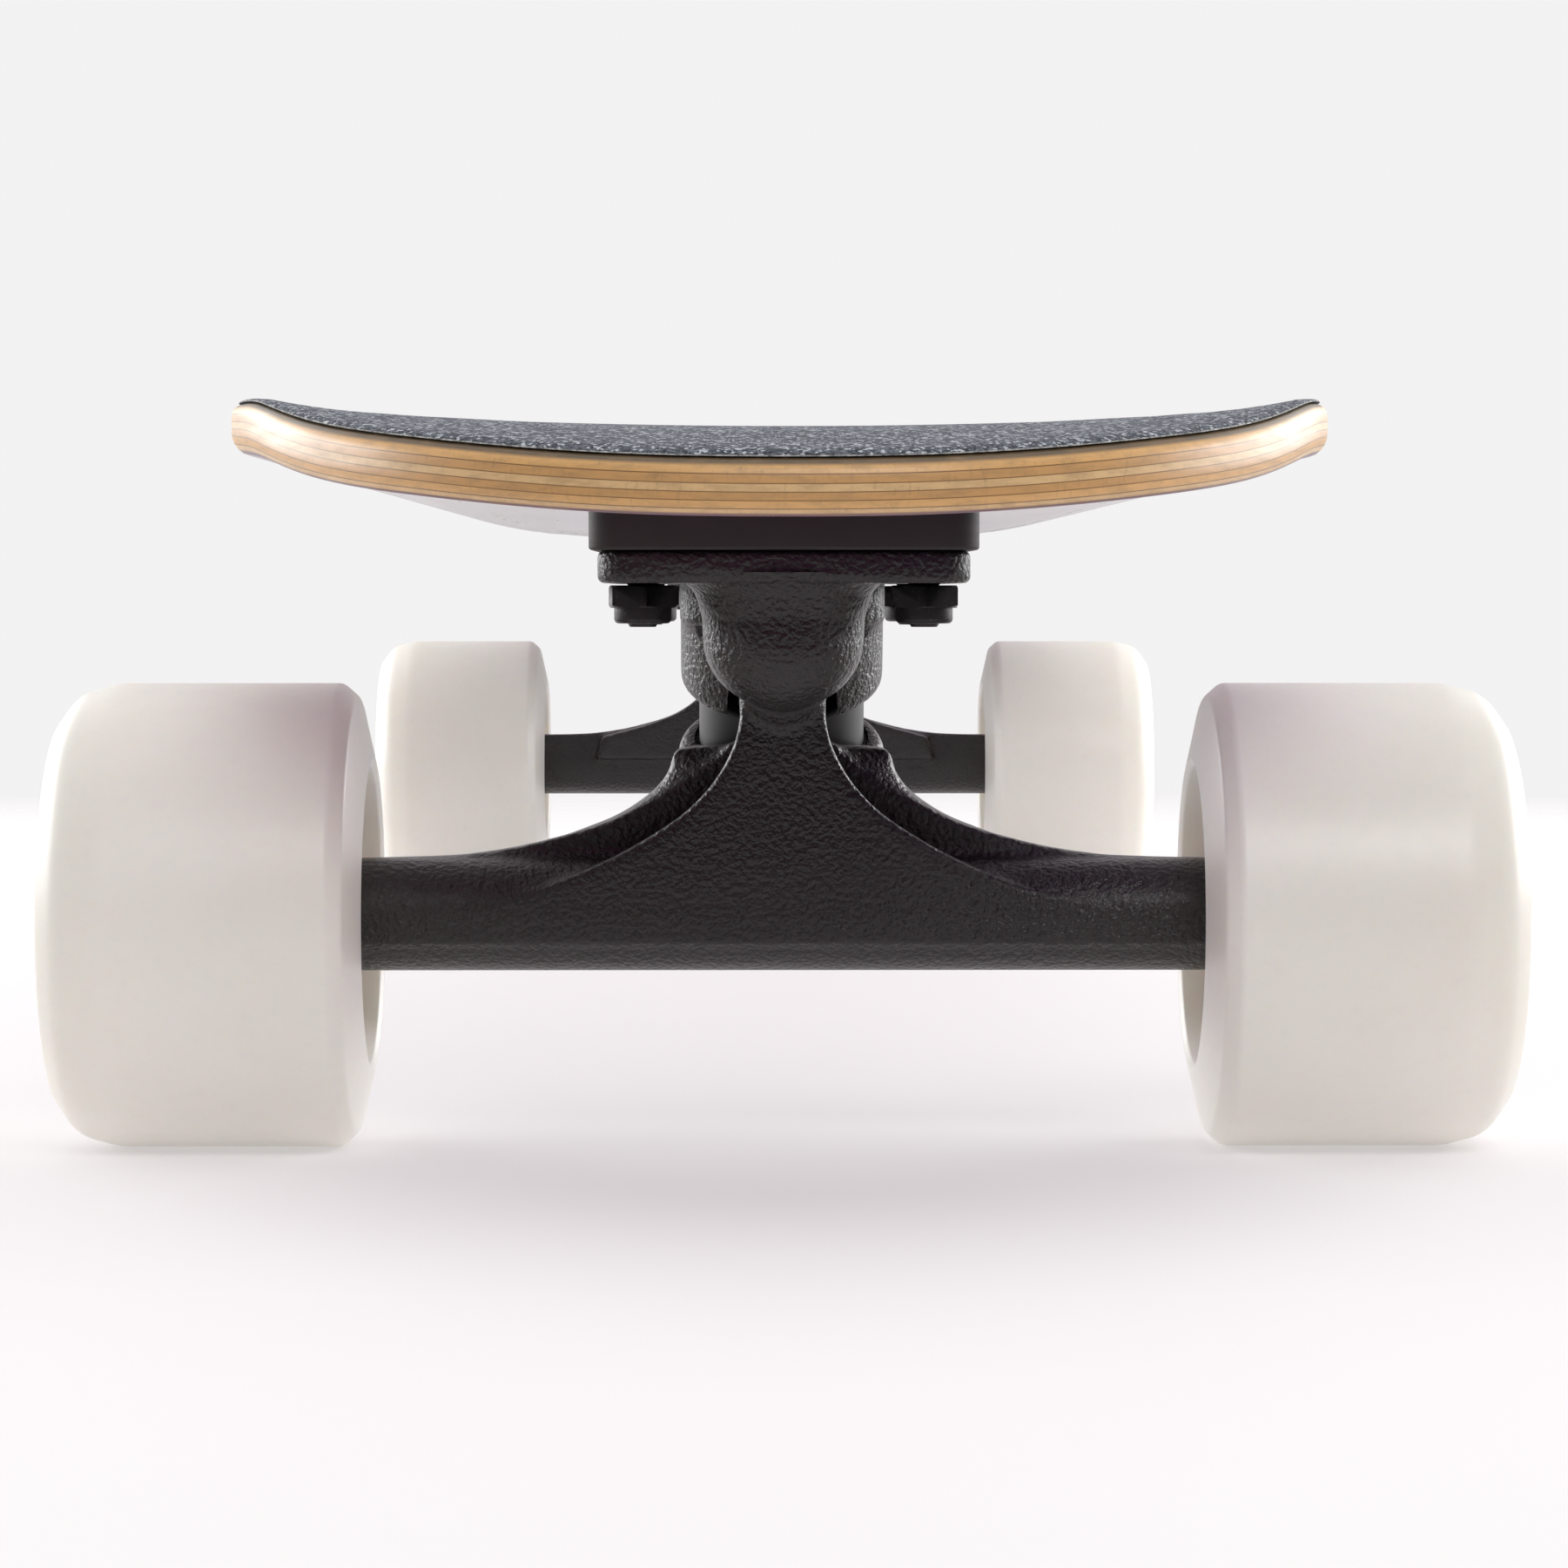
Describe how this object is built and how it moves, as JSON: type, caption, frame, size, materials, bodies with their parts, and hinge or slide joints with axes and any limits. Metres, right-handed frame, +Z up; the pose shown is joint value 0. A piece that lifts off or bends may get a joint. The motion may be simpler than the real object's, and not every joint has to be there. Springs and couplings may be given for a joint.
{
  "type": "skateboard",
  "caption": "Cruiser skateboard with concave plywood deck, grip tape, riser pads, traditional kingpin trucks that steer on bushings, and free-rolling urethane wheels.",
  "frame": {"origin": "on the ground under the middle of the board", "axes": "+X to the right, -Y towards the nose, +Z up"},
  "size_m": [0.218, 0.8878, 0.1274],
  "materials": {
    "maple": "lacquered seven-ply maple, painted underside",
    "grip": "grit sheet with bright specks",
    "casting": "black powder coat on cast aluminium",
    "riser": "dull black plastic",
    "pivot_plastic": "dull black plastic",
    "black_steel": "black oxide",
    "bright_steel": "zinc plated and ground steel",
    "bushing": "dark grey urethane",
    "urethane": "creamy white cast urethane"
  },
  "bodies": {
    "board": {"deck": "maple", "grip_tape": "grip", "front_riser_pad": "riser", "front_baseplate": "casting", "front_pivot_cup": "pivot_plastic", "front_kingpin": "black_steel", "front_kingpin_nut": "black_steel", "front_kingpin_washer": "black_steel", "front_bushing_boardside": "bushing", "front_bushing_roadside": "bushing", "front_bolt_1": "black_steel", "front_bolt_nut_1": "black_steel", "front_bolt_2": "black_steel", "front_bolt_nut_2": "black_steel", "front_bolt_3": "black_steel", "front_bolt_nut_3": "black_steel", "front_bolt_4": "black_steel", "front_bolt_nut_4": "black_steel", "rear_riser_pad": "riser", "rear_baseplate": "casting", "rear_pivot_cup": "pivot_plastic", "rear_kingpin": "black_steel", "rear_kingpin_nut": "black_steel", "rear_kingpin_washer": "black_steel", "rear_bushing_boardside": "bushing", "rear_bushing_roadside": "bushing", "rear_bolt_1": "black_steel", "rear_bolt_nut_1": "black_steel", "rear_bolt_2": "black_steel", "rear_bolt_nut_2": "black_steel", "rear_bolt_3": "black_steel", "rear_bolt_nut_3": "black_steel", "rear_bolt_4": "black_steel", "rear_bolt_nut_4": "black_steel"},
    "front_left_wheel_set": {"front_left_wheel": "urethane", "front_left_bearing_inner": "bright_steel", "front_left_bearing_outer": "bright_steel"},
    "front_right_wheel_set": {"front_right_wheel": "urethane", "front_right_bearing_inner": "bright_steel", "front_right_bearing_outer": "bright_steel"},
    "front_hanger_set": {"front_hanger": "casting", "front_axle": "bright_steel", "front_left_spacer": "bright_steel", "front_left_axle_nut": "bright_steel", "front_right_spacer": "bright_steel", "front_right_axle_nut": "bright_steel"},
    "rear_left_wheel_set": {"rear_left_wheel": "urethane", "rear_left_bearing_inner": "bright_steel", "rear_left_bearing_outer": "bright_steel"},
    "rear_right_wheel_set": {"rear_right_wheel": "urethane", "rear_right_bearing_inner": "bright_steel", "rear_right_bearing_outer": "bright_steel"},
    "rear_hanger_set": {"rear_hanger": "casting", "rear_axle": "bright_steel", "rear_left_spacer": "bright_steel", "rear_left_axle_nut": "bright_steel", "rear_right_spacer": "bright_steel", "rear_right_axle_nut": "bright_steel"}
  },
  "joints": [
    {"name": "front_steer", "type": "hinge", "parent": "board", "child": "front_hanger_set", "pos_m": [0, -0.3225, 0.0575], "axis": [0, -0.9035, 0.4286], "range_deg": [-15, 15], "stiffness_Nm_per_rad": 40, "deforming": ["front_bushing_boardside", "front_bushing_roadside"]},
    {"name": "front_left_spin", "type": "hinge", "parent": "front_hanger_set", "child": "front_left_wheel_set", "pos_m": [-0.08545, -0.3425, 0.035], "axis": [1, 0, 0], "continuous": true},
    {"name": "front_right_spin", "type": "hinge", "parent": "front_hanger_set", "child": "front_right_wheel_set", "pos_m": [0.08545, -0.3425, 0.035], "axis": [1, 0, 0], "continuous": true},
    {"name": "rear_steer", "type": "hinge", "parent": "board", "child": "rear_hanger_set", "pos_m": [0, 0.2725, 0.0575], "axis": [0, 0.9035, 0.4286], "range_deg": [-15, 15], "stiffness_Nm_per_rad": 40, "deforming": ["rear_bushing_boardside", "rear_bushing_roadside"]},
    {"name": "rear_left_spin", "type": "hinge", "parent": "rear_hanger_set", "child": "rear_left_wheel_set", "pos_m": [-0.08545, 0.2925, 0.035], "axis": [1, 0, 0], "continuous": true},
    {"name": "rear_right_spin", "type": "hinge", "parent": "rear_hanger_set", "child": "rear_right_wheel_set", "pos_m": [0.08545, 0.2925, 0.035], "axis": [1, 0, 0], "continuous": true}
  ]
}
